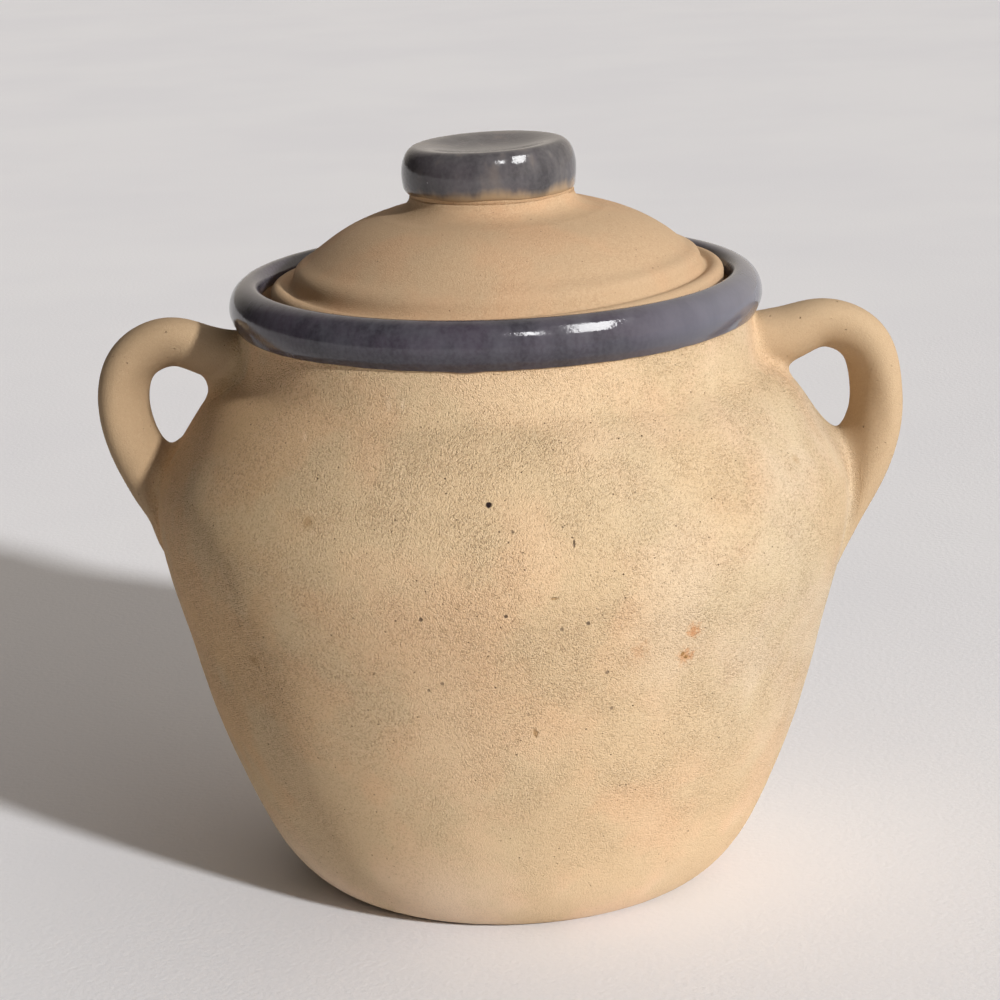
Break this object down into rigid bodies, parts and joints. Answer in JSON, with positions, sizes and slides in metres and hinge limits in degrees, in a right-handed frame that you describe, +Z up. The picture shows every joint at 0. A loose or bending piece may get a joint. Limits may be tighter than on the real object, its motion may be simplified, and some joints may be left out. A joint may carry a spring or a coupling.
{
  "type": "bean pot",
  "caption": "Stoneware bean pot with a swelling belly, short neck, rolled glazed rim, ear handles at the neck, and a loose domed lid with a flat round knob seated inside the rim.",
  "frame": {"origin": "centre of the standing face, where the pot meets the table", "axes": "+Z up along the pot's axis, +X and -X through the two ear handles, -Y towards the viewer"},
  "size_m": [0.1734, 0.1496, 0.1605],
  "materials": {
    "bare_stoneware": "unglazed sandy buff stoneware, matt",
    "slate_glaze": "glossy slate blue-grey glaze",
    "liner_glaze": "glossy slate blue-grey liner glaze"
  },
  "bodies": {
    "pot": {"pot_body": "bare_stoneware", "handle_left": "bare_stoneware", "handle_right": "bare_stoneware", "rim_glaze": "slate_glaze", "liner_glaze": "liner_glaze"},
    "lid": {"lid_body": "bare_stoneware", "lid_knob": "bare_stoneware", "knob_glaze": "slate_glaze", "lid_liner_glaze": "liner_glaze"}
  },
  "joints": [
    {"name": "lid_lift", "type": "slide", "parent": "pot", "child": "lid", "axis": [0, 0, 1], "range_m": [0, 0.07]}
  ]
}
